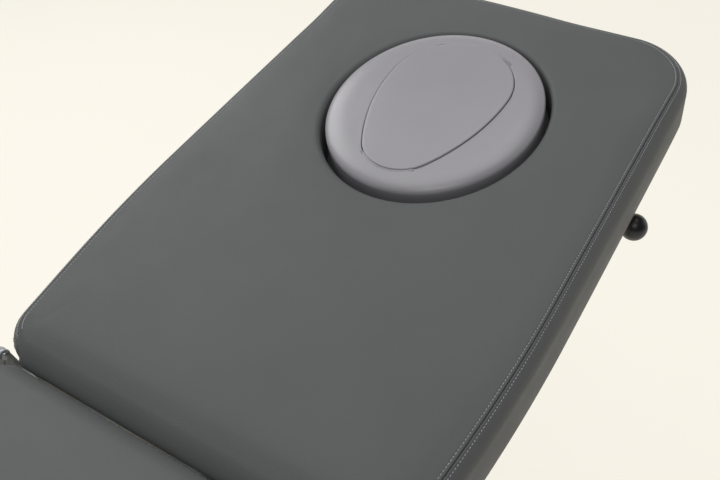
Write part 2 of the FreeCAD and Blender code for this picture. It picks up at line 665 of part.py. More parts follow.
node("levelling_feet", group(*feet))
node("foot_lock_nuts", group(*nuts))
plates.append(box("2 * rail_centre + base_tube_width", "box_depth - 40", "base_plate",
                  (0, s.box_centre, base_z - s.base_plate)))
node("column_base_plates", group(*plates))

# Retractable castors: each shaft carries two castor arms and a foot pedal

def castor_wheel(x, y, z):
    """Turned wheel: a rounded tyre on a dished hub."""
    disc = cross_rod("castor_radius", "castor_width", (x, y, z))
    tyre = roll(disc, s.tread_round, lambda e: e.BoundBox.YLength > s.castor_radius
                and e.BoundBox.XLength < 0.01)
    tools = [cross_rod("axle_radius + pin_gap", "2 * castor_width", (x, y, z))]
    for side in SIDES:
        middle = x + side * (s.castor_width / 2 - s.hub_sink / 2 + 1)
        tools.append(cut(cross_rod("castor_radius - tread_depth", "hub_sink + 2", (middle, y, z)),
                         cross_rod("hub_radius", "2 * hub_sink + 4", (middle, y, z))))
    return cut(tyre, *tools)


for name, y, outward in (("foot", shaft_y[0], -1), ("head", shaft_y[1], 1)):
    rest_turn = outward * s.castor_tilt
    to_shaft = Placement(V(0, y, shaft_z), Rotation(X, rest_turn))
    parts = [cross_rod("shaft_radius", 2 * (s.castor_x + s.arm_half), (0, 0, 0))]
    for side in SIDES:
        x = side * s.castor_x
        parts += [
            cross_rod("shaft_radius + 6", "2 * arm_half", (x, 0, 0)),
            box("2 * arm_half", 24, "arm_height + arm_thick", (x, 0, 0)),
            box("2 * arm_half", "castor_reach", "arm_thick",
                (x, outward * s.castor_reach / 2, s.arm_height)),
            rod("arm_half", "arm_thick", (x, outward * s.castor_reach, s.arm_height))]
    pedal_z = s.shaft_radius - s.pedal_thick / 2
    tread = roll(box("pedal_width", "pedal_depth", "pedal_thick + 4",
                     (0, outward * s.pedal_reach, pedal_z)), s.pedal_depth / 3, is_upright)
    tread = roll(tread, 2, flat_at(pedal_z + s.pedal_thick + 4))
    parts += [
        cross_rod("shaft_radius + 6", 40, (0, 0, 0)),
        box("pedal_arm", "pedal_reach", "pedal_thick", (0, outward * s.pedal_reach / 2, pedal_z)),
        tread]
    node(f"castor_shaft_{name}", fuse(*parts), to_shaft)
    swivel_y = outward * s.castor_reach
    axle_y = swivel_y - outward * s.castor_trail
    axle_z = s.castor_radius - s.castor_low - shaft_z
    for side, hand in zip(SIDES, ("left", "right")):
        x = side * s.castor_x
        cheek = s.castor_width / 2 + 2 + s.fork_thick / 2
        crown_z = s.arm_height - s.head_height
        fork = [rod("head_radius", "head_height - fit_gap", (x, swivel_y, crown_z)),
                box(2 * cheek + s.fork_thick, 44 + s.castor_trail, "fork_thick",
                    (x, swivel_y - outward * s.castor_trail / 2, crown_z - s.fork_thick))]
        disc = s.axle_disc
        outline = [V(0, swivel_y + outward * (s.head_radius - 4), crown_z),
                   V(0, axle_y - outward * (s.head_radius - 4), crown_z),
                   V(0, axle_y - outward * disc, axle_z), V(0, axle_y + outward * disc, axle_z)]
        for hand_side in SIDES:
            leg_x = x + hand_side * cheek
            fork += [sheet_plate(outline, leg_x - hand_side * s.fork_thick / 2, hand_side,
                                 "fork_thick"),
                     cross_rod("axle_disc", "fork_thick", (leg_x, axle_y, axle_z))]
        fork.append(cross_rod("axle_radius", 2 * cheek + s.fork_thick + 4, (x, axle_y, axle_z)))
        node(f"castor_fork_{name}_{hand}", fuse(*fork), to_shaft)
        node(f"castor_wheel_{name}_{hand}", castor_wheel(x, axle_y, axle_z), to_shaft)

# Foot switch bars along both sides and the control box between the columns

pivot_x = s.rail_centre + s.base_tube_width / 2 + s.pivot_out
pivot_z = base_z + s.base_tube_height - s.pivot_drop
cheek_low = pivot_z - s.bracket_nose
switches = []
for side, hand in zip(SIDES, ("left", "right")):
    tube = cross_rod("bar_radius", "bar_length", (side * s.bar_x, s.base_centre, s.bar_z), Y)
    parts = [roll(tube, s.bar_radius / 2, lambda e: e.BoundBox.YLength < 0.01)]
    run = math.hypot(s.bar_x - pivot_x, s.bar_z - pivot_z)
    toward_bar = V(side * (s.bar_x - pivot_x), 0, s.bar_z - pivot_z)
    for end in SIDES:
        y = s.base_centre + end * s.bar_arm
        pivot = (side * pivot_x, y, pivot_z)
        parts += [rod("bar_lever", run, pivot, toward_bar.normalize()),
                  cross_rod("pivot_radius", "knuckle", pivot, Y),
                  cross_rod("pivot_radius - 2", "2 * bracket_space + bracket_cheek + 4", pivot, Y)]
        bracket = [box("bracket_back", "2 * bracket_space + bracket_cheek", "2 * bracket_nose",
                       (side * (pivot_x - s.pivot_out + s.bracket_back / 2), y, cheek_low))]
        for cheek_side in SIDES:
            cheek_y = y + cheek_side * s.bracket_space
            bracket += [box("pivot_out", "bracket_cheek", "2 * bracket_nose",
                            (side * (pivot_x - s.pivot_out / 2), cheek_y, cheek_low)),
                        cross_rod("bracket_nose", "bracket_cheek",
                                  (side * pivot_x, cheek_y, pivot_z), Y)]
        switches.append(cut(fuse(*bracket), cross_rod("pivot_radius - 2 + pin_gap",
                                                      "4 * bracket_space", pivot, Y)))
    node(f"foot_bar_{hand}", fuse(*parts))
node("foot_bar_brackets", group(*switches))

face_x = s.box_width / 2
inlet_z = base_z + s.box_height / 2
casing = roll(box("box_width", "box_depth", "box_height", (0, s.box_centre, base_z)), 6,
              lambda e: is_upright(e) or flat_at(base_z + s.box_height)(e))
recess = box("inlet_depth + fit_gap", "inlet_width - 8", "inlet_height - 6",
             (face_x - (s.inlet_depth + s.fit_gap) / 2, s.box_centre, inlet_z - s.inlet_height / 2 + 3))
node("control_box", cut(casing, recess))
shroud = fuse(box("inlet_depth", "inlet_width - 10", "inlet_height - 8",
                  (face_x - s.inlet_depth / 2, s.box_centre, inlet_z - s.inlet_height / 2 + 4)),
              box(3, "inlet_width + 10", "inlet_height", (face_x + 1.5, s.box_centre,
                                                          inlet_z - s.inlet_height / 2)))
socket = box("inlet_depth", "inlet_width - 16", "inlet_height - 14",
             (face_x + 3 - s.inlet_depth / 2, s.box_centre, inlet_z - s.inlet_height / 2 + 7))
blades = [box(10, 2, 4, (face_x - s.inlet_depth + 8, s.box_centre + step, inlet_z - 2 + rise))
          for step, rise in ((-7, -2), (0, 2), (7, -2))]
node("mains_inlet", fuse(cut(shroud, socket), *blades))

for part in nodes:
    part.Visibility = True
doc.recompute()

failed = [o.Label for o in doc.Objects if {"Invalid", "Error"} & set(o.State)]
if failed:
    raise RuntimeError("objects that failed: " + ", ".join(failed))
for part in nodes:
    if part.Shape.isNull() or not part.Shape.isValid():
        raise RuntimeError(part.Label + " has no valid shape")

os.makedirs("parts", exist_ok=True)
for part in nodes:
    part.Shape.exportStep(f"parts/{part.Label}.step")
print(len(nodes), "sub-parts")
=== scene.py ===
"""Two-section therapy table: the looks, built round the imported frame. Sizes are in metres."""
import json
import math
import random

import bpy
import numpy as np
from mathutils import Matrix, Vector


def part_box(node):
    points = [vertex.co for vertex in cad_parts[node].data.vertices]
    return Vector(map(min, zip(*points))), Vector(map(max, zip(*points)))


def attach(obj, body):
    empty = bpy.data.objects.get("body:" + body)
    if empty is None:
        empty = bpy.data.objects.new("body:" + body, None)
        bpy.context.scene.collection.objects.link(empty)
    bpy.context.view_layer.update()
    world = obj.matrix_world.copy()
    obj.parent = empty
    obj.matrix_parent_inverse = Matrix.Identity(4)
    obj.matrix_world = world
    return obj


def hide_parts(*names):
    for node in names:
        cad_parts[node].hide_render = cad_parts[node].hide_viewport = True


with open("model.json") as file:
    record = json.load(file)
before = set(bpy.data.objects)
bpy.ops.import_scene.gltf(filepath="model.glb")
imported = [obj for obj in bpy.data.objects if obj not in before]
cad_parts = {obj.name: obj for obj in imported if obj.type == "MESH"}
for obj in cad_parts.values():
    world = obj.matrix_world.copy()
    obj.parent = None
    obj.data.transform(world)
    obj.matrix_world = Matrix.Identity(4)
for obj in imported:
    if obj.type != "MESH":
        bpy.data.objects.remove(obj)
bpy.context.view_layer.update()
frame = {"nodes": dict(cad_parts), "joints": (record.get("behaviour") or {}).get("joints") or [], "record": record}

# Places read from the frame
JOINTS = {joint["name"]: joint for joint in frame["joints"]}
HINGE = Vector(JOINTS["back_tilt"]["pos_m"])
SEAT_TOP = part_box("seat_pad")[1].z
REST_TILT = math.radians(16)
HINGE_DROP = SEAT_TOP - HINGE.z
SEAT = Matrix.Translation((0, HINGE.y, SEAT_TOP))
BACK = (Matrix.Translation(HINGE) @ Matrix.Rotation(REST_TILT, 4, "X")
        @ Matrix.Translation((0, 0, HINGE_DROP)))

# Upholstered sections
PAD_HALF, WAIST_HALF, WAIST_RUN = 0.325, 0.295, 0.350
PAD_HEIGHT, PAD_GAP = 0.078, 0.006
BACK_LENGTH, SEAT_LENGTH = 0.895, 1.060
HINGE_RADIUS, END_RADIUS = 0.055, 0.111
EDGE_ROLL, BASE_ROLL, EDGE_FLAT = 0.022, 0.006, 0.024
BOARD_INSET, BOARD_THICK = 0.014, 0.012
BOARD_TOP = BOARD_THICK - PAD_HEIGHT
COVER_FLOOR = BOARD_TOP + 0.0004
FOLD_HALF, FOLD_END = 0.030, 0.150
CROWN_CAP, CROWN_PASSES = 0.0035, 4
HINGE_SWELL, SWELL_DEPTH, SWELL_REACH = 0.0055, 0.021, 0.016
SWELL_MARGIN, SWELL_FADE = 0.010, 0.002
HINGE_DROOP, DROOP_REACH = 0.006, 0.030

# Seam and its two rows of stitching. Each profile row: height, middle and width beside the seam
SEAM_INSET, SEAM_TURN = 0.0063, 0.55
STITCH_ROW, STITCH_PITCH, STITCH_LENGTH, THREAD = 0.0043, 0.0046, 0.0030, 0.0005
STITCH_STOP, STITCH_LEAN, STITCH_AHEAD, THREAD_LIFT = 0.004, 0.06, 0.35, 0.35
SEAM_PROFILE = ((-0.0022, 0.0, 0.0005), (0.0003, 0.0023, 0.0011), (-0.0004, STITCH_ROW, 0.0008))
BESIDE_SEAM = (0.0, 0.0002, 0.0005, 0.0009, 0.0015, 0.0024, 0.0033, 0.0043, 0.0052, 0.0062,
               0.0080, 0.0100, 0.0125)

# Ring spacing: step along the outline, rings over the top, rings on the hole's wall and lip
COARSE_GRID = (0.014, 15, (4, 3))
FINE_GRID = (0.0062, 42, (6, 6))
TOP_PITCH, WALL_PITCH, WALL_GAP = 0.004, 0.0032, 0.0145
SIM_FRAMES, HELD_BELOW = 20, 0.8

# Head insert and face plug
INSERT_HALF = (0.162, 0.179)
INSERT_CENTRE = PAD_GAP / 2 + 0.598
INSERT_RISE, INSERT_GAP = 0.0146, 0.009
INSERT_ROLL, ROLL_POWER = (0.037, 0.0135), 2.2
HOLE_HALF = (INSERT_HALF[0] + INSERT_GAP, INSERT_HALF[1] + INSERT_GAP)
HOLE_LIP, HOLE_FLOOR = 0.007, 0.018
EGG_WIDE, EGG_NARROW, EGG_LENGTH, EGG_OFFSET = 0.0986, 0.0624, 0.2917, 0.003
EGG_RISE, EGG_GROOVE, EGG_LIP, EGG_COUNT = 0.0018, 0.0009, 0.0016, 360
INSERT_DOME, INSERT_TUCK, PLUG_ROLL, PLUG_TUCK = 0.0015, 0.985, 0.0022, 0.002


# Material helpers

def material(name, colour, roughness, metallic=0.0, coat=0.0):
    """Principled material with constants on its own sockets."""
    mat = bpy.data.materials.new(name)
    mat.use_nodes = True
    shader = mat.node_tree.nodes["Principled BSDF"]
    shader.inputs["Base Color"].default_value = (*colour, 1)
    shader.inputs["Roughness"].default_value = roughness
    shader.inputs["Metallic"].default_value = metallic
    shader.inputs["Coat Weight"].default_value = coat
    return mat


def shader_of(mat):
    """The material's one Principled shader."""
    return mat.node_tree.nodes["Principled BSDF"]


def add(mat, kind, **settings):
    """New node; each setting goes to the socket of its name, or else to the node itself."""
    node = mat.node_tree.nodes.new(kind)
    for key, value in settings.items():
        if key in node.inputs:
            node.inputs[key].default_value = value
        else:
            setattr(node, key, value)
    return node


def link(mat, source, target):
    mat.node_tree.links.new(source, target)


def place_of(mat, scale=(1, 1, 1)):
    """Object coordinates stretched by `scale`, for a pattern of its own size."""
    coords = add(mat, "ShaderNodeTexCoord")
    mapping = add(mat, "ShaderNodeMapping")
    mapping.inputs["Scale"].default_value = scale
    link(mat, coords.outputs["Object"], mapping.inputs["Vector"])
    return mapping.outputs["Vector"]


def noise(mat, where, scale, detail=3.0, roughness=0.5):
    """Cloudy value between 0 and 1."""
    node = add(mat, "ShaderNodeTexNoise", Scale=scale, Detail=detail, Roughness=roughness)
    link(mat, where, node.inputs["Vector"])
    return node.outputs["Fac"]


def ramp(mat, value, low, high, start=0.0, end=1.0):
    """Colour ramp between two colours."""
    node = add(mat, "ShaderNodeValToRGB")
    node.color_ramp.elements[0].position = start
    node.color_ramp.elements[1].position = end
    node.color_ramp.elements[0].color = (*low, 1)
    node.color_ramp.elements[1].color = (*high, 1)
    link(mat, value, node.inputs["Fac"])
    return node.outputs["Color"]


def spread(mat, value, low, high, start=0.0, end=1.0):
    """Map a value in start..end to low..high."""
    node = add(mat, "ShaderNodeMapRange", **{"From Min": start, "From Max": end,
                                             "To Min": low, "To Max": high})
    link(mat, value, node.inputs["Value"])
    return node.outputs["Result"]


def bump(mat, height, strength, distance, before=None):
    """Normal raised by `height`, on top of the normal `before` where there is one."""
    node = add(mat, "ShaderNodeBump", Strength=strength, Distance=distance)
    link(mat, height, node.inputs["Height"])
    if before is not None:
        link(mat, before, node.inputs["Normal"])
    return node.outputs["Normal"]


def tinted(colour, factor):
    """The colour made lighter or darker."""
    return tuple(channel * factor for channel in colour)


def vinyl(name, colour, roughness, grain, depth, gloss):
    """Soft coated fabric: fine pebbled grain, faint cloudiness and uneven gloss."""
    mat = material(name, colour, roughness)
    shader = shader_of(mat)
    shader.inputs["Specular IOR Level"].default_value = gloss
    where = place_of(mat)
    cloud = noise(mat, where, 5.0, 3.0)
    link(mat, ramp(mat, cloud, tinted(colour, 0.965), tinted(colour, 1.035), 0.3, 0.7),
         shader.inputs["Base Color"])
    wear = noise(mat, where, 21.0, 4.0)
    link(mat, spread(mat, wear, roughness - 0.03, roughness + 0.04, 0.3, 0.7),
         shader.inputs["Roughness"])
    cells = add(mat, "ShaderNodeTexVoronoi", Scale=grain, feature="SMOOTH_F1")
    link(mat, where, cells.inputs["Vector"])
    pebble = bump(mat, cells.outputs["Distance"], 0.30, depth)
    fine = noise(mat, where, grain * 2.7, 2.0)
    link(mat, bump(mat, fine, 0.18, depth * 0.6, pebble), shader.inputs["Normal"])
    return mat


def paint(name, colour, roughness=0.36):
    """Powder coat: orange peel in the gloss and a slight change of tone."""
    mat = material(name, colour, roughness, coat=0.15)
    shader = shader_of(mat)
    shader.inputs["Coat Roughness"].default_value = 0.25
    where = place_of(mat)
    tone = noise(mat, where, 9.0, 4.0)
    link(mat, ramp(mat, tone, tinted(colour, 0.94), tinted(colour, 1.04), 0.3, 0.7),
         shader.inputs["Base Color"])
    peel = noise(mat, where, 620.0, 2.0)
    link(mat, bump(mat, peel, 0.22, 0.0004), shader.inputs["Normal"])
    return mat


def metal(name, colour, roughness, brushed=(1, 1, 1), depth=0.0002, worn=0.1):
    """Bare metal: drawn or brushed lines along one axis, and patchy gloss."""
    mat = material(name, colour, roughness, metallic=1.0)
    shader = shader_of(mat)
    lines = noise(mat, place_of(mat, brushed), 260.0, 3.0)
    patches = noise(mat, place_of(mat), 14.0, 4.0)
    link(mat, spread(mat, patches, roughness - worn / 2, roughness + worn, 0.3, 0.7),
         shader.inputs["Roughness"])
    link(mat, ramp(mat, lines, tinted(colour, 0.9), colour, 0.35, 0.65), shader.inputs["Base Color"])
    link(mat, bump(mat, lines, 0.25, depth), shader.inputs["Normal"])
    return mat


def plastic(name, colour, roughness, texture=900.0, depth=0.00025):
    """Moulded plastic with a spark-eroded skin."""
    mat = material(name, colour, roughness)
    shader = shader_of(mat)
    where = place_of(mat)
    skin = noise(mat, where, texture, 2.0, 0.6)
    link(mat, bump(mat, skin, 0.3, depth), shader.inputs["Normal"])
    rub = noise(mat, where, 17.0, 4.0)
    link(mat, spread(mat, rub, roughness - 0.05, roughness + 0.06, 0.3, 0.7),
         shader.inputs["Roughness"])
    link(mat, ramp(mat, rub, tinted(colour, 0.9), tinted(colour, 1.12), 0.3, 0.7),
         shader.inputs["Base Color"])
    return mat


def plywood(name):
    """Birch ply: long grain in its colour and surface."""
    mat = material(name, (0.52, 0.37, 0.22), 0.55)
    shader = shader_of(mat)
    grain = noise(mat, place_of(mat, (14.0, 1.0, 60.0)), 6.0, 6.0, 0.6)
    face = ramp(mat, grain, (0.40, 0.27, 0.15), (0.58, 0.43, 0.27), 0.3, 0.72)
    link(mat, face, shader.inputs["Base Color"])
    link(mat, bump(mat, grain, 0.2, 0.0004), shader.inputs["Normal"])
    return mat


def rubber(name, colour):
    """Dull rubber, dusty in patches."""
    mat = material(name, colour, 0.75)
    shader = shader_of(mat)
    where = place_of(mat)
    dust = noise(mat, where, 40.0, 5.0)
    link(mat, ramp(mat, dust, colour, tinted(colour, 1.5), 0.45, 0.8), shader.inputs["Base Color"])
    link(mat, bump(mat, noise(mat, where, 500.0), 0.3, 0.0003), shader.inputs["Normal"])
    return mat


LOOKS = {
    "upholstery": vinyl("vinyl_dark_grey", (0.132, 0.136, 0.136), 0.54, 620.0, 0.0005, 0.18),
    "insert_cover": vinyl("vinyl_pale_grey", (0.372, 0.361, 0.384), 0.32, 900.0, 0.00018, 0.55),
    "plywood": plywood("birch_ply"),
    "black_plastic": plastic("black_moulding", (0.018, 0.019, 0.021), 0.42),
    "grey_plastic": plastic("grey_moulding", (0.13, 0.135, 0.14), 0.5),
    "frame_paint": paint("grey_powder_coat", (0.50, 0.51, 0.52)),
    "black_paint": paint("black_enamel", (0.018, 0.018, 0.02), 0.25),
    "column_aluminium": metal("anodised_aluminium", (0.74, 0.75, 0.77), 0.34, (22, 22, 0.6)),
    "bright_steel": metal("zinced_steel", (0.64, 0.65, 0.67), 0.28, (1.5, 1.5, 1.5)),
    "nut_plastic": plastic("acetal", (0.70, 0.69, 0.64), 0.4),
    "castor_tread": rubber("grey_tread", (0.19, 0.19, 0.20)),
    "foot_rubber": rubber("black_rubber", (0.022, 0.022, 0.022)),
}
THREAD_LOOK = plastic("thread", (0.46, 0.47, 0.48), 0.6, 2600.0, 0.0002)
HUB_LOOK = plastic("castor_hub", (0.045, 0.046, 0.05), 0.4)
KNOB_LOOK = plastic("black_knob", (0.007, 0.008, 0.010), 0.38, 1500.0, 0.00012)


# Mesh helpers

def new_object(name, verts, faces, mat):
    """Smooth-shaded mesh object in the scene."""
    mesh = bpy.data.meshes.new(name)
    mesh.from_pydata([tuple(v) for v in verts], [], [tuple(f) for f in faces])
    mesh.validate()
    mesh.materials.append(mat)
    mesh.polygons.foreach_set("use_smooth", [True] * len(mesh.polygons))
    mesh.update()
    thing = bpy.data.objects.new(name, mesh)
    bpy.context.scene.collection.objects.link(thing)
    return thing


def grid_faces(around, rings, start=0, flip=False):
    """Quads between closed rings of `around` points each."""
    faces = []
    for k in range(rings - 1):
        for i in range(around):
            j = (i + 1) % around
            quad = [start + k * around + i, start + k * around + j,
                    start + (k + 1) * around + j, start + (k + 1) * around + i]
            faces.append(quad[::-1] if flip else quad)
    return faces


def ladder_faces(around, start=0, flip=False):
    """Closes a ring whose point 0 lies on the middle line, by rungs across it."""
    half = around // 2
    faces = []
    for i in range(half):
        quad = [start + (around - i) % around, start + i, start + i + 1,
                start + (around - i - 1) % around]
        quad = list(dict.fromkeys(quad))
        faces.append(quad if flip else quad[::-1])
    return faces


def flat_ring(points, height):
    """Points of a plane lifted to one height, or to a height each."""
    height = np.full(len(points), height) if np.isscalar(height) else height
    return np.column_stack([points, height])


def moved(points, matrix):
    """Array of points put in place by a matrix."""
    m = np.array(matrix)
    return points @ m[:3, :3].T + m[:3, 3]


def set_piece(thing, body, slot, *nodes, fill=None):
    """Puts the piece under its body's empty and hides the nodes that it stands for. The slot and fill arguments
    are not used.
    """
    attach(thing, body)
    if nodes:
        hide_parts(*nodes)


# Upholstered sections: rings that follow the outline, from the hole or the middle to the underside

def outline_samples(length, direction, step):
    """Points, outward normals and running length round a section, from the middle of the far end.

    Right side first, then the mirrored left side, so that point 0 lies on the middle line.
    Also the whole length round, and where the hinge corner's arc starts and ends."""
    near, far = PAD_GAP / 2, PAD_GAP / 2 + length
    bend = (WAIST_RUN ** 2 + (PAD_HALF - WAIST_HALF) ** 2) / (2 * (PAD_HALF - WAIST_HALF))
    flank = np.array([PAD_HALF - bend, near + WAIST_RUN])
    corner_y = near + HINGE_RADIUS
    corner_x = flank[0] + math.sqrt((bend - HINGE_RADIUS) ** 2 - (corner_y - flank[1]) ** 2)
    corner = np.array([corner_x, corner_y])
    meet = math.atan2(corner[1] - flank[1], corner[0] - flank[0])
    end = np.array([PAD_HALF - END_RADIUS, far - END_RADIUS])
    pieces = []

    def straight(a, b, normal):
        a, b = np.array(a), np.array(b)
        run = np.linalg.norm(b - a)
        pieces.append((run, lambda t: (a + (b - a) * t, np.array(normal, float))))

    def arc(centre, radius, start, stop):
        def at(t):
            angle = start + (stop - start) * t
            normal = np.array([math.cos(angle), math.sin(angle)])
            return centre + radius * normal, normal
        pieces.append((abs(stop - start) * radius, at))

    straight((0, far), (end[0], far), (0, 1))
    arc(end, END_RADIUS, math.pi / 2, 0)
    straight((PAD_HALF, end[1]), (PAD_HALF, flank[1]), (1, 0))
    arc(flank, bend, 0, meet)
    arc(corner, HINGE_RADIUS, meet, -math.pi / 2)
    straight((corner_x, near), (0, near), (0, -1))

    half, run_at, starts = [], 0.0, []
    for run, at in pieces:
        count = max(2, round(run / step))
        starts.append(run_at)
        half += [(run_at + run * n / count, *at(n / count)) for n in range(count)]
        run_at += run
    half.append((run_at, *at(1)))
    whole = 2 * run_at
    mirror = [(whole - a, p * (-1, 1), n * (-1, 1)) for a, p, n in half[-2:0:-1]]
    length_at, place, normal = (np.array(column) for column in zip(*(half + mirror)))
    place[:, 1] *= direction
    normal[:, 1] *= direction
    hinge_corner = starts[4], starts[5]
    return length_at, place, normal, whole, hinge_corner


def edge_profile():
    """(inset, height) along the rolled edge by running length, from the flat top to the underside."""
    wall = PAD_HEIGHT - EDGE_ROLL - BASE_ROLL
    stretches = [EDGE_FLAT, EDGE_ROLL * math.pi / 2, wall, BASE_ROLL * math.pi / 2,
                 BOARD_INSET - BASE_ROLL]

    def at(run):
        if run <= stretches[0]:
            return EDGE_ROLL + EDGE_FLAT - run, 0.0
        run -= stretches[0]
        if run <= stretches[1]:
            angle = run / EDGE_ROLL
            return EDGE_ROLL * (1 - math.sin(angle)), -EDGE_ROLL * (1 - math.cos(angle))
        run -= stretches[1]
        if run <= stretches[2]:
            return 0.0, -EDGE_ROLL - run
        run -= stretches[2]
        if run <= stretches[3]:
            angle = run / BASE_ROLL
            return (BASE_ROLL * (1 - math.cos(angle)),
                    -PAD_HEIGHT + BASE_ROLL * (1 - math.sin(angle)))
        run -= stretches[3]
        return BASE_ROLL + run, -PAD_HEIGHT
    return at, sum(stretches), stretches


def inner_rings(hole, counts):
    """(inset, height) of the rings inside the top panel: turned-in floor, hole wall and lip."""
    if hole is None:
        return []
    wall, lip = counts
    rows = [(-HOLE_FLOOR, COVER_FLOOR)]
    rows += [(0.0, COVER_FLOOR + (-HOLE_LIP - COVER_FLOOR) * n / wall) for n in range(wall)]
    for n in range(lip + 1):
        angle = math.pi / 2 * n / lip
        rows.append((HOLE_LIP * (1 - math.cos(angle)), -HOLE_LIP * (1 - math.sin(angle))))
    return rows


def section_grid(length, direction, hole, grid, edge_runs):
    """Rings of points of a padded section in its own plane, shape (rings, around, 3)."""
    step, top_count, inner_counts = grid
    length_at, place, normal, whole, hinge_corner = outline_samples(length, direction, step)
    centre_y = direction * (INSERT_CENTRE if hole else PAD_GAP / 2 + length / 2)
    # a top without a hole starts from a slim oval on the middle line, closed by rungs across it
    half = hole or (FOLD_HALF, length / 2 - FOLD_END)
    lip = HOLE_LIP if hole else 0
    ray = place - (0, centre_y)
    if hole:
        angle = np.arctan2(ray[:, 1] / half[1], ray[:, 0] / half[0])
    else:
        angle = np.arctan2(ray[:, 1] / (length / 2), ray[:, 0] / PAD_HALF)
    unit = np.stack([np.cos(angle), np.sin(angle)], 1)
    at = edge_profile()[0]

    def oval(inset):
        return unit * (half[0] + inset, half[1] + inset) + (0, centre_y)

    rings = [flat_ring(oval(inset), height) for inset, height in inner_rings(hole, inner_counts)]
    inner, outer = oval(lip), place - normal * (EDGE_ROLL + EDGE_FLAT)
    for n in range(1 if hole else 0, top_count):
        rings.append(flat_ring(inner + (outer - inner) * (n / top_count), 0.0))
    edge_start = len(rings)
    for run in edge_runs:
        inset, height = at(run)
        rings.append(flat_ring(place - normal * inset, height))
    return np.array(rings), length_at, whole, hinge_corner, edge_start


def simulate_cover(name, rings, closed, flip):
    """Blow the cover up a little as cloth, held at the underside and at the foot of the hole."""
    count, around = rings.shape[:2]
    faces = grid_faces(around, count, flip=flip)
    if closed:
        faces += ladder_faces(around, flip=flip)
    cover = new_object(name, rings.reshape(-1, 3), faces, LOOKS["upholstery"])
    held = cover.vertex_groups.new(name="held")
    for k in range(count):
        if rings[k, 0, 2] < -PAD_HEIGHT * HELD_BELOW:
            held.add(range(k * around, (k + 1) * around), 1.0, "REPLACE")
    cloth = cover.modifiers.new("cover", "CLOTH")
    options = cloth.settings
    options.quality = 6
    options.mass = 0.4
    options.tension_stiffness = options.compression_stiffness = 60
    options.shear_stiffness = 30
    options.bending_stiffness = 4
    options.use_pressure = True
    options.uniform_pressure_force = 4
    options.vertex_group_mass = "held"
    options.effector_weights.gravity = 0
    scene = bpy.context.scene
    for number in range(1, SIM_FRAMES + 1):
        scene.frame_set(number)
    shape = cover.evaluated_get(bpy.context.evaluated_depsgraph_get()).to_mesh()
    blown = np.empty(len(shape.vertices) * 3, np.float32)
    shape.vertices.foreach_get("co", blown)
    bpy.data.objects.remove(cover)
    scene.frame_set(1)
    return blown.reshape(count, around, 3).astype(float)


def smooth_rings(shift, passes):
    """The field evened out along the rings and across them."""
    for _ in range(passes):
        shift = (shift * 2 + np.roll(shift, 1, 1) + np.roll(shift, -1, 1)) / 4
        inner = (shift[:-2] + shift[2:] + shift[1:-1] * 2) / 4
        shift = np.concatenate([shift[:1], inner, shift[-1:]])
    return shift


def resample(field, old_rows, new_rows, old_length, new_length, whole):
    """Field on coarse rings, read on finer ones along both running lengths."""
    wide = np.concatenate([field, field[:, :1]], 1)
    lengths = np.append(old_length, whole)
    along = np.stack([[np.interp(new_length, lengths, row[:, c]) for c in range(3)] for row in wide])
    along = along.transpose(0, 2, 1)
    across = np.empty((len(new_rows), along.shape[1], 3))
    for c in range(3):
        for i in range(along.shape[1]):
            across[:, i, c] = np.interp(new_rows, old_rows, along[:, i, c])
    return across


def ring_normals(rings, flip):
    """Outward normal at each point of the rings."""
    around = np.roll(rings, -1, 1) - np.roll(rings, 1, 1)
    across = np.gradient(rings, axis=0)
    normal = np.cross(around, across)
    normal /= np.linalg.norm(normal, axis=2, keepdims=True) + 1e-12
    return -normal if flip else normal


def distance_to_seam(length_at, run, whole, turn, seam_run):
    """Distance on the surface from the seam's three legs."""
    around = np.minimum(length_at, whole - length_at)
    beyond = np.maximum(around - turn, 0.0)
    along_top = np.hypot(beyond, run - seam_run)
    down = np.hypot(around - turn, np.minimum(run - seam_run, 0.0))
    return np.minimum(along_top, down)


def edge_runs_of(seam_run):
    """Running lengths of the coarse and the fine rings down the edge, and the wall's lower end."""
    total, stretches = edge_profile()[1:]
    wall_start, wall_end = sum(stretches[:2]), sum(stretches[:3])
    coarse = list(np.linspace(0, EDGE_FLAT, 4)[:-1])
    coarse += list(EDGE_FLAT + np.linspace(0, stretches[1], 6)[:-1])
    coarse += list(wall_start + np.linspace(0, stretches[2], 6)[:-1])
    coarse += list(wall_end + np.linspace(0, total - wall_end, 4))
    fine = [seam_run + d for d in BESIDE_SEAM] + [seam_run - d for d in BESIDE_SEAM]
    fine += list(np.arange(0, seam_run - BESIDE_SEAM[-1], TOP_PITCH))
    fine += list(np.arange(seam_run + WALL_GAP, total, WALL_PITCH)) + [total]
    return coarse, sorted({round(run, 5) for run in fine}), wall_end


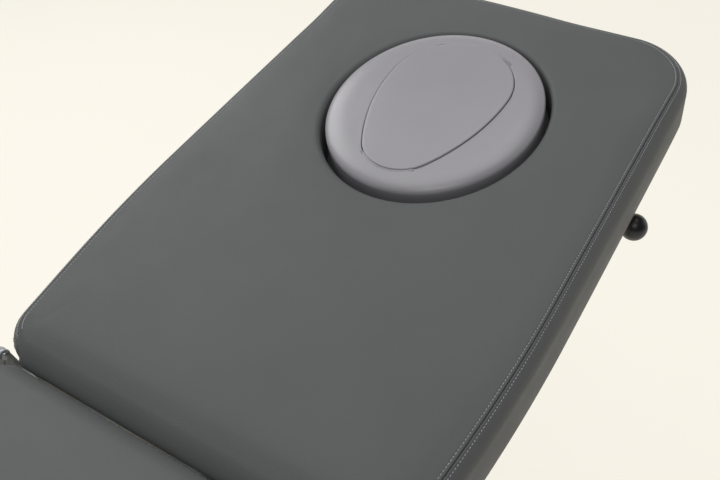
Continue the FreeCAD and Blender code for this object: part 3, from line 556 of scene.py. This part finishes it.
def padded_section(name, node, body, matrix, length, direction, hole):
    """One upholstered section: blown up as cloth, closed at the hinge, with seam and stitching."""
    flip = direction < 0
    seam_run = EDGE_FLAT + SEAM_INSET
    coarse_runs, fine_runs, wall_end = edge_runs_of(seam_run)
    coarse, coarse_at = section_grid(length, direction, hole, COARSE_GRID, coarse_runs)[:2]
    fine, fine_at, whole, hinge_corner, fine_start = section_grid(length, direction, hole,
                                                                  FINE_GRID, fine_runs)
    blown = simulate_cover(name + "_sim", coarse, hole is None, flip)
    shift = blown - coarse
    size = np.linalg.norm(shift, axis=2, keepdims=True)
    shift = shift * np.tanh(size / CROWN_CAP) * CROWN_CAP / (size + 1e-9)
    shift = smooth_rings(shift, CROWN_PASSES)
    fine = fine + resample(shift, rows_of(coarse_runs, hole, COARSE_GRID),
                           rows_of(fine_runs, hole, FINE_GRID), coarse_at, fine_at, whole)
    # the foam of the two hinge ends presses together and closes the slit between them
    depth = (fine[fine_start:, :, 2] + SWELL_DEPTH) / SWELL_REACH
    past_start = np.clip(fine_at - hinge_corner[1] + SWELL_MARGIN, 0, None)
    before_end = np.clip(whole - hinge_corner[1] + SWELL_MARGIN - fine_at, 0, None)
    facing = np.clip(past_start * before_end / SWELL_FADE, 0, 1)
    fine[fine_start:, :, 1] -= direction * HINGE_SWELL * np.exp(-depth ** 2) * facing
    from_hinge = np.clip(fine[:, :, 1] * direction - PAD_GAP / 2, 0, None)
    droop = HINGE_DROOP * np.exp(-(from_hinge / DROOP_REACH) ** 2)
    fine[:, :, 2] -= droop * (1 + fine[:, :, 2] / PAD_HEIGHT)
    normal = ring_normals(fine, flip)
    turn = hinge_corner[0] + (hinge_corner[1] - hinge_corner[0]) * SEAM_TURN
    runs = np.array(fine_runs)
    apart = distance_to_seam(fine_at[None, :], runs[:, None], whole, turn, seam_run)
    raised = sum(height * np.exp(-((apart - middle) / width) ** 2)
                 for height, middle, width in SEAM_PROFILE)
    fine[fine_start:] += normal[fine_start:] * raised[:, :, None]
    count, around = fine.shape[:2]
    faces = grid_faces(around, count, flip=flip)
    if hole is None:
        faces += ladder_faces(around, flip=flip)
    pad = new_object(name, moved(fine.reshape(-1, 3), matrix), faces, LOOKS["upholstery"])
    set_piece(pad, body, "upholstery", node, fill=0.9)
    edge_normal = ring_normals(fine, flip)[fine_start:]
    stitches(name + "_stitching", body, matrix, fine[fine_start:], edge_normal, runs, fine_at,
             whole, turn, seam_run, wall_end)


def rows_of(runs, hole, grid):
    """Address that a ring has in both grids: below 0 in the hole, 0 to 1 over the top panel, then
    1 plus the run."""
    top_count, (wall, lip) = grid[1:]
    rows = []
    if hole:
        rows += [-3] + [-2 + n / wall for n in range(wall)]
        rows += [-1 + n / lip for n in range(lip + 1)]
        rows += [n / top_count for n in range(1, top_count)]
    else:
        rows += [n / top_count for n in range(top_count)]
    rows += [1 + run for run in runs]
    return np.array(rows)


def capsule(length, radius, sides=6):
    """Unit stitch along X: flattened thread that dives at both ends."""
    verts, faces = [], []
    stations = [(-0.5, 0.15, -0.7), (-0.42, 0.8, -0.1), (-0.2, 1.0, 0.35), (0.2, 1.0, 0.35),
                (0.42, 0.8, -0.1), (0.5, 0.15, -0.7)]
    for along, size, lift in stations:
        for n in range(sides):
            angle = 2 * math.pi * n / sides
            verts.append((along * length, math.cos(angle) * radius * size,
                          (math.sin(angle) * size + lift) * radius))
    faces = grid_faces(sides, len(stations))
    faces.append(list(range(sides))[::-1])
    faces.append([(len(stations) - 1) * sides + n for n in range(sides)])
    return np.array(verts), faces


def stitches(name, body, matrix, edge, edge_normal, runs, length_at, whole, turn, seam_run,
             wall_end):
    """Two rows of thread beside the seam, laid on the finished surface."""
    lengths = np.append(length_at, whole)
    wide = np.concatenate([edge, edge[:, :1]], 1)
    wide_normal = np.concatenate([edge_normal, edge_normal[:, :1]], 1)

    def read(field, a, r):
        a %= whole
        i = min(max(np.searchsorted(lengths, a) - 1, 0), len(lengths) - 2)
        k = min(max(np.searchsorted(runs, r) - 1, 0), len(runs) - 2)
        u = (a - lengths[i]) / (lengths[i + 1] - lengths[i])
        v = (r - runs[k]) / (runs[k + 1] - runs[k])
        return ((field[k, i] * (1 - u) + field[k, i + 1] * u) * (1 - v)
                + (field[k + 1, i] * (1 - u) + field[k + 1, i + 1] * u) * v)

    rng = random.Random(11)
    unit, unit_faces = capsule(STITCH_LENGTH, THREAD)
    verts, faces = [], []
    for row in (-1, 1):
        side = row * STITCH_ROW
        across, top, low = turn - side, seam_run - side, wall_end - STITCH_STOP
        legs = [((across, low), (across, top)), ((across, top), (-across, top)),
                ((-across, top), (-across, low))]
        for (a0, r0), (a1, r1) in legs:
            run = math.hypot(a1 - a0, r1 - r0)
            count = int(run / STITCH_PITCH)
            for n in range(count):
                share = (n + 0.5) / count
                step = STITCH_AHEAD * STITCH_PITCH / run
                at, down = a0 + (a1 - a0) * share, r0 + (r1 - r0) * share
                here = read(wide, at, down)
                ahead = read(wide, at + (a1 - a0) * step, down + (r1 - r0) * step)
                up = read(wide_normal, at, down)
                along = ahead - here
                along /= np.linalg.norm(along) + 1e-12
                up = up - along * (up @ along)
                up /= np.linalg.norm(up) + 1e-12
                beside = np.cross(up, along)
                lean = rng.uniform(-STITCH_LEAN, STITCH_LEAN)
                basis = np.stack([along + beside * lean, beside - along * lean, up])
                faces += [[len(verts) + v for v in f] for f in unit_faces]
                verts += list(unit @ basis + here + up * THREAD * THREAD_LIFT)
    thread = new_object(name, moved(np.array(verts), matrix), faces, THREAD_LOOK)
    set_piece(thread, body, "upholstery")


# Head insert and face plug

def egg_points(margin, count):
    """Closed egg of four tangent arcs, wide end towards the head, from its far point clockwise."""
    wide, narrow, length = EGG_WIDE + margin, EGG_NARROW + margin, EGG_LENGTH + 2 * margin
    centre = INSERT_CENTRE - EGG_OFFSET
    wide_y, narrow_y = centre + length / 2 - wide, centre - length / 2 + narrow
    rise = wide_y - narrow_y
    flank = (wide ** 2 + rise ** 2 - narrow ** 2) / (2 * (wide - narrow))
    turn = math.atan2(rise, flank - wide)
    runs = [wide * math.pi / 2, flank * turn, narrow * (math.pi / 2 - turn)]
    points = []
    for n in range(count):
        at = sum(runs) * 2 * n / count
        side = 1
        if at > sum(runs):
            at, side = 2 * sum(runs) - at, -1
        if at <= runs[0]:
            angle = math.pi / 2 - at / wide
            x, y = wide * math.cos(angle), wide_y + wide * math.sin(angle)
        elif at <= runs[0] + runs[1]:
            angle = (at - runs[0]) / flank
            x, y = wide - flank + flank * math.cos(angle), wide_y - flank * math.sin(angle)
        else:
            angle = turn + (at - runs[0] - runs[1]) / narrow
            x, y = narrow * math.cos(angle), narrow_y - narrow * math.sin(angle)
        points.append((side * x, y))
    return np.array(points)


def insert_top(points):
    """Height of the insert's top: a faint dome."""
    share = ((points[:, 0] / INSERT_HALF[0]) ** 2
             + ((points[:, 1] - INSERT_CENTRE) / INSERT_HALF[1]) ** 2)
    return INSERT_RISE - INSERT_DOME * share


def make_insert():
    """Oval cushion: the plug's hole and its lip, the top, a rolled rim and the wall."""
    hole = egg_points(EGG_GROOVE, EGG_COUNT)
    half, centre = np.array(INSERT_HALF), np.array([0, INSERT_CENTRE])
    angle = np.arctan2((hole[:, 1] - INSERT_CENTRE) / half[1], hole[:, 0] / half[0])
    unit = np.stack([np.cos(angle), np.sin(angle)], 1)
    rings = [flat_ring(hole, COVER_FLOOR)]
    rings += [flat_ring(hole, insert_top(hole) - EGG_LIP - drop)
              for drop in (0.05, 0.02, 0.008, 0.002, 0.0)]
    for turn in (22, 45, 68, 90):
        angle = math.radians(turn)
        wider = egg_points(EGG_GROOVE + EGG_LIP * (1 - math.cos(angle)), EGG_COUNT)
        rings.append(flat_ring(wider, insert_top(wider) - EGG_LIP * (1 - math.sin(angle))))
    inner = egg_points(EGG_GROOVE + EGG_LIP, EGG_COUNT)
    edge = unit * (half - INSERT_ROLL[0]) + centre
    across_count, roll_count = 14, 12
    for n in range(1, across_count):
        flat = inner + (edge - inner) * n / across_count
        rings.append(flat_ring(flat, insert_top(flat)))
    edge_height = insert_top(edge)
    for n in range(roll_count + 1):
        turn = math.pi / 2 * n / roll_count
        across = math.sin(turn) ** (2 / ROLL_POWER)
        down = 1 - math.cos(turn) ** (2 / ROLL_POWER)
        out = unit * (half - INSERT_ROLL[0] * (1 - across)) + centre
        rings.append(flat_ring(out, edge_height - INSERT_ROLL[1] * down))
    low = edge_height - INSERT_ROLL[1]
    for share, tuck in ((0.15, 1), (0.4, 1), (0.7, 1), (0.97, 1), (1.0, INSERT_TUCK)):
        rings.append(flat_ring(unit * half * tuck + centre, low + (COVER_FLOOR - low) * share))
    rings = np.array(rings)
    faces = grid_faces(EGG_COUNT, len(rings))
    insert = new_object("head_insert_cushion", moved(rings.reshape(-1, 3), BACK), faces,
                        LOOKS["insert_cover"])
    set_piece(insert, "head_insert", "insert_cover", "head_insert", fill=1.0)


def make_plug():
    """Egg-shaped cushion, closed above and below, that rises a little from the insert."""
    def crown(points):
        return insert_top(points) + EGG_RISE

    rings = []
    outer, flat_edge = egg_points(0, EGG_COUNT), egg_points(-PLUG_ROLL, EGG_COUNT)
    middle = np.array([0, INSERT_CENTRE - EGG_OFFSET])
    # the top starts from a slim egg on the middle line, closed by rungs across it
    slim = (outer - middle) * (0.10, 0.55) + middle
    across_count = 16
    for n in range(across_count):
        flat = slim + (flat_edge - slim) * n / across_count
        rings.append(flat_ring(flat, crown(flat)))
    for turn in (0, 18, 36, 54, 72, 90):
        angle = math.radians(turn)
        out = egg_points(-PLUG_ROLL * (1 - math.sin(angle)), EGG_COUNT)
        rings.append(flat_ring(out, crown(out) - PLUG_ROLL * (1 - math.cos(angle))))
    low = crown(outer) - PLUG_ROLL
    for share in (0.03, 0.1, 0.4, 0.97, 1.0):
        out = outer if share < 1 else egg_points(-PLUG_TUCK, EGG_COUNT)
        rings.append(flat_ring(out, low + (COVER_FLOOR - low) * share))
    rings = np.array(rings)
    faces = grid_faces(EGG_COUNT, len(rings)) + ladder_faces(EGG_COUNT)
    faces += ladder_faces(EGG_COUNT, (len(rings) - 1) * EGG_COUNT, flip=True)
    plug = new_object("face_plug_cushion", moved(rings.reshape(-1, 3), BACK), faces,
                      LOOKS["insert_cover"])
    set_piece(plug, "face_plug", "insert_cover", "face_plug", fill=1.0)


# Rigid pieces that need more than their construction solid

def lathe(profile, sides):
    """Points and faces of a turned piece about +Z from (radius, height) pairs."""
    verts = [(r * math.cos(2 * math.pi * n / sides), r * math.sin(2 * math.pi * n / sides), z)
             for r, z in profile for n in range(sides)]
    faces = grid_faces(sides, len(profile))
    faces.append(list(range(sides))[::-1])
    faces.append([(len(profile) - 1) * sides + n for n in range(sides)])
    return np.array(verts), faces


def make_knobs():
    """Ball knobs with a conical neck, on the bent ends of the release lever."""
    radius, ball_turn, tip = 0.0205, math.radians(118), 0.0008
    neck_radius, neck_start, bore, chamfer = 0.011, 0.294, 0.0063, 0.001
    local = BACK.inverted()
    ends = [local @ v.co for v in frame["nodes"]["release_knobs"].data.vertices]
    ys, zs = [p.y for p in ends], [p.z for p in ends]
    centre_y, centre_z = (min(ys) + max(ys)) / 2, (min(zs) + max(zs)) / 2
    neck_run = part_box("release_knobs")[1].x - radius - neck_start
    ball = [(radius * math.sin(a), neck_run - radius * math.cos(a))
            for a in np.linspace(math.pi - ball_turn, math.pi, 15)]
    cone = [(neck_radius + (ball[0][0] - neck_radius) * t, chamfer + (ball[0][1] - chamfer) * t)
            for t in (0.25, 0.5, 0.75)]
    profile = [(bore, 0.0), (neck_radius - chamfer, 0.0), (neck_radius, chamfer)]
    profile += cone + ball[:-1] + [(tip, neck_run + radius)]
    unit, unit_faces = lathe(profile, 40)
    verts, faces = [], []
    for side in (-1, 1):
        turned = np.stack([side * (neck_start + unit[:, 2]), unit[:, 0] * side + centre_y,
                           unit[:, 1] + centre_z], 1)
        faces += [[len(verts) + v for v in f] for f in unit_faces]
        verts += list(turned)
    knobs = new_object("release_knob_balls", moved(np.array(verts), BACK), faces, KNOB_LOOK)
    set_piece(knobs, "release_lever", "black_plastic", "release_knobs")


def make_wheel(node, body):
    """Castor wheel: grooved tread on a dished hub with a bearing cap each side."""
    low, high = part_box(node)
    centre = (low + high) / 2
    half = (high.x - low.x) / 2
    radius = (high.y - low.y) / 2
    bore, sides = 0.0041, 56
    tread = [(radius - 0.010, -half), (radius - 0.0035, -half), (radius - 0.0008, -half + 0.0022),
             (radius, -half + 0.006), (radius, -0.0025), (radius - 0.0012, -0.0012),
             (radius - 0.0012, 0.0012), (radius, 0.0025), (radius, half - 0.006),
             (radius - 0.0008, half - 0.0022), (radius - 0.0035, half), (radius - 0.010, half)]
    hub = [(bore, -half + 0.001), (0.0085, -half + 0.001), (0.0095, -half + 0.002),
           (0.0100, -half + 0.005), (0.018, -half + 0.0065), (radius - 0.0125, -half + 0.005),
           (radius - 0.0110, -half + 0.0008), (radius - 0.0100, -half + 0.0006),
           (radius - 0.0100, half - 0.0006), (radius - 0.0110, half - 0.0008),
           (radius - 0.0125, half - 0.005), (0.018, half - 0.0065), (0.0100, half - 0.005),
           (0.0095, half - 0.002), (0.0085, half - 0.001), (bore, half - 0.001)]
    for kind, profile, look, slot in (("tread", tread, LOOKS["castor_tread"], "castor_tread"),
                                      ("hub", hub, HUB_LOOK, "black_plastic")):
        unit, faces = lathe(profile, sides)
        # the wall of the bore takes the place of the two end caps
        last = (len(profile) - 1) * sides
        faces = faces[:-2] + [[n, (n + 1) % sides, last + (n + 1) % sides, last + n]
                              for n in range(sides)]
        turned = np.stack([unit[:, 2], unit[:, 0], unit[:, 1]], 1) + np.array(centre)
        piece = new_object(f"{node}_{kind}", turned, faces, look)
        set_piece(piece, body, slot, *([node] if kind == "tread" else []))


def dress_nodes():
    """Give every carried-over piece its finish, softened edges and clean shading."""
    weld_reach, edge_width, edge_share, sharp_angle = 0.00001, 0.0012, 0.08, math.radians(40)
    slots = {row["node"]: row["material_slot"] for row in frame["record"]["subparts"]}
    for name, thing in frame["nodes"].items():
        thing.data.materials.clear()
        thing.data.materials.append(LOOKS[slots[name]])
        if thing.hide_render:
            continue
        thing.data.polygons.foreach_set("use_smooth", [True] * len(thing.data.polygons))
        weld = thing.modifiers.new("weld", "WELD")
        weld.merge_threshold = weld_reach
        low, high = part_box(name)
        edge = thing.modifiers.new("edge", "BEVEL")
        edge.width = min(edge_width, min(high - low) * edge_share)
        edge.segments = 2
        edge.limit_method = "ANGLE"
        edge.angle_limit = sharp_angle
        shading = thing.modifiers.new("shading", "WEIGHTED_NORMAL")
        shading.weight = 80
        shading.keep_sharp = False


# Stage, lights and camera

def make_stage():
    """Pale floor that curves up into a backdrop at the head end."""
    floor_look = material("floor", (0.20, 0.193, 0.174), 0.9)
    shader = shader_of(floor_look)
    shader.inputs["Specular IOR Level"].default_value = 0.1
    shader.inputs["Emission Color"].default_value = (0.93, 0.896, 0.807, 1)
    shader.inputs["Emission Strength"].default_value = 0.88
    size, rise, bend, bend_count = 7.0, 4.0, 1.2, 8
    rows = [(-size, 0.0), (size - bend, 0.0)]
    for n in range(1, bend_count + 1):
        angle = math.pi / 2 * n / bend_count
        rows.append((size - bend + bend * math.sin(angle), bend * (1 - math.cos(angle))))
    rows.append((size, rise))
    verts = [(x, y, z) for y, z in rows for x in (-size, size)]
    faces = [(2 * k, 2 * k + 1, 2 * k + 3, 2 * k + 2) for k in range(len(rows) - 1)]
    floor = new_object("studio_floor", verts, faces, floor_look)


def area_light(name, place, target, size, power):
    """Rectangular white light at `place` that faces `target`."""
    lamp = bpy.data.lights.new(name, "AREA")
    lamp.shape = "RECTANGLE"
    lamp.size, lamp.size_y = size
    lamp.energy = power
    thing = bpy.data.objects.new(name, lamp)
    thing.location = place
    thing.rotation_euler = (Vector(target) - Vector(place)).to_track_quat("-Z", "Y").to_euler()
    bpy.context.scene.collection.objects.link(thing)


def make_lights():
    """Faint even surroundings and four soft lights above the table."""
    world = bpy.data.worlds.new("studio")
    bpy.context.scene.world = world
    world.use_nodes = True
    background = world.node_tree.nodes["Background"]
    background.inputs["Color"].default_value = (0.98, 0.98, 1.0, 1)
    background.inputs["Strength"].default_value = 0.10
    area_light("overhead", (-0.3, 0.6, 3.0), (0, 0.4, 0.6), (2.6, 1.8), 25)
    area_light("right_fill", (3.0, 2.4, 1.9), (0, 0.8, 0.7), (1.6, 1.6), 3)
    area_light("camera_side", (0.8, -1.1, 2.8), (0, 0.6, 0.7), (1.3, 1.1), 13)
    area_light("left_side", (-2.5, 1.0, 2.5), (0, 0.5, 0.7), (2.0, 1.8), 40)


def make_camera():
    """Camera solved from the photograph, in the back section's plane."""
    focal_px, frame_px, aside_px = 751.8, 720, 100
    yaw, pitch, roll = 0.5861, 0.8932, -0.1072
    place = (0.4932, -0.1174, 0.7592)
    forward = Vector((-math.sin(yaw) * math.cos(pitch), math.cos(yaw) * math.cos(pitch),
                      -math.sin(pitch)))
    level = forward.cross(Vector((0, 0, 1))).normalized()
    raised = level.cross(forward)
    right = level * math.cos(roll) + raised * math.sin(roll)
    up = raised * math.cos(roll) - level * math.sin(roll)
    seen = Matrix((right, up, -forward)).transposed().to_4x4()
    seen.translation = place
    lens = bpy.data.cameras.new("camera")
    lens.sensor_fit = "HORIZONTAL"
    lens.sensor_width = 36
    lens.lens = focal_px / frame_px * lens.sensor_width
    lens.shift_x = -aside_px / frame_px
    lens.clip_start = 0.05
    camera = bpy.data.objects.new("camera", lens)
    camera.matrix_world = BACK @ Matrix.Translation((0, PAD_GAP / 2, 0)) @ seen
    bpy.context.scene.collection.objects.link(camera)
    bpy.context.scene.camera = camera
    bpy.context.scene.view_settings.view_transform = "Standard"


make_stage()
make_lights()
make_camera()
padded_section("back_upholstery", "back_pad", "back_section", BACK, BACK_LENGTH, 1, HOLE_HALF)
padded_section("seat_upholstery", "seat_pad", "table_top", SEAT, SEAT_LENGTH, -1, None)
make_insert()
make_plug()
make_knobs()
for end in ("foot", "head"):
    for hand in ("left", "right"):
        make_wheel(f"castor_wheel_{end}_{hand}", f"wheel_{end}_{hand}")
dress_nodes()
